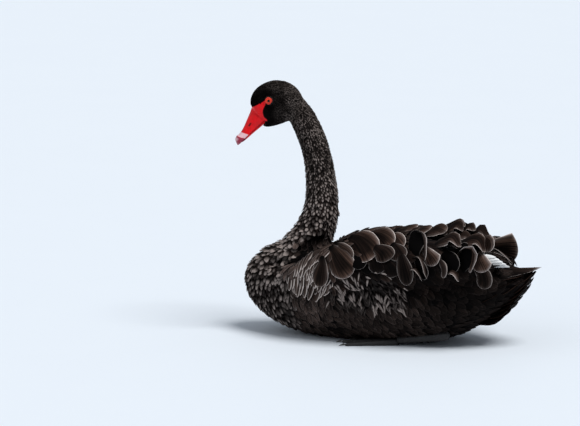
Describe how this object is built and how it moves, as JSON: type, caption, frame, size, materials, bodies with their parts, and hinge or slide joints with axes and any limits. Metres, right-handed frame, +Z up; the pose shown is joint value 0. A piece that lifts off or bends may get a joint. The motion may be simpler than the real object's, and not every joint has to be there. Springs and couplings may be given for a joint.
{
  "type": "black swan model",
  "caption": "Still life-size model of a black swan resting on its belly, neck raised and head turned to its left, feet tucked under.",
  "frame": {"origin": "on the floor under the middle of the bird's box, at the height of the belly's flat", "axes": "+X from the breast towards the tail, +Y to the bird's right, +Z up"},
  "size_m": [0.5738, 0.2512, 0.467],
  "materials": {
    "plumage": "sooty black feathers with greyish brown edges, soft and matt",
    "white_feather": "white flight feathers, matt",
    "bill": "waxy bright red bill and bare face with a pale band and pink nail",
    "eye": "glossy orange red iris round a black pupil",
    "foot_skin": "black scaly skin, slightly damp"
  },
  "bodies": {
    "root": {"head": "plumage", "neck_upper": "plumage", "neck_middle": "plumage", "neck_lower": "plumage", "trunk": "plumage", "wing_left": "plumage", "wing_right": "plumage", "tail": "plumage", "flight_feathers_left": "white_feather", "flight_feathers_right": "white_feather", "bill_upper": "bill", "bill_lower": "bill", "eye_left": "eye", "eye_right": "eye", "foot_left": "foot_skin", "foot_right": "foot_skin", "leg_left": "foot_skin", "leg_right": "foot_skin"}
  },
  "joints": []
}
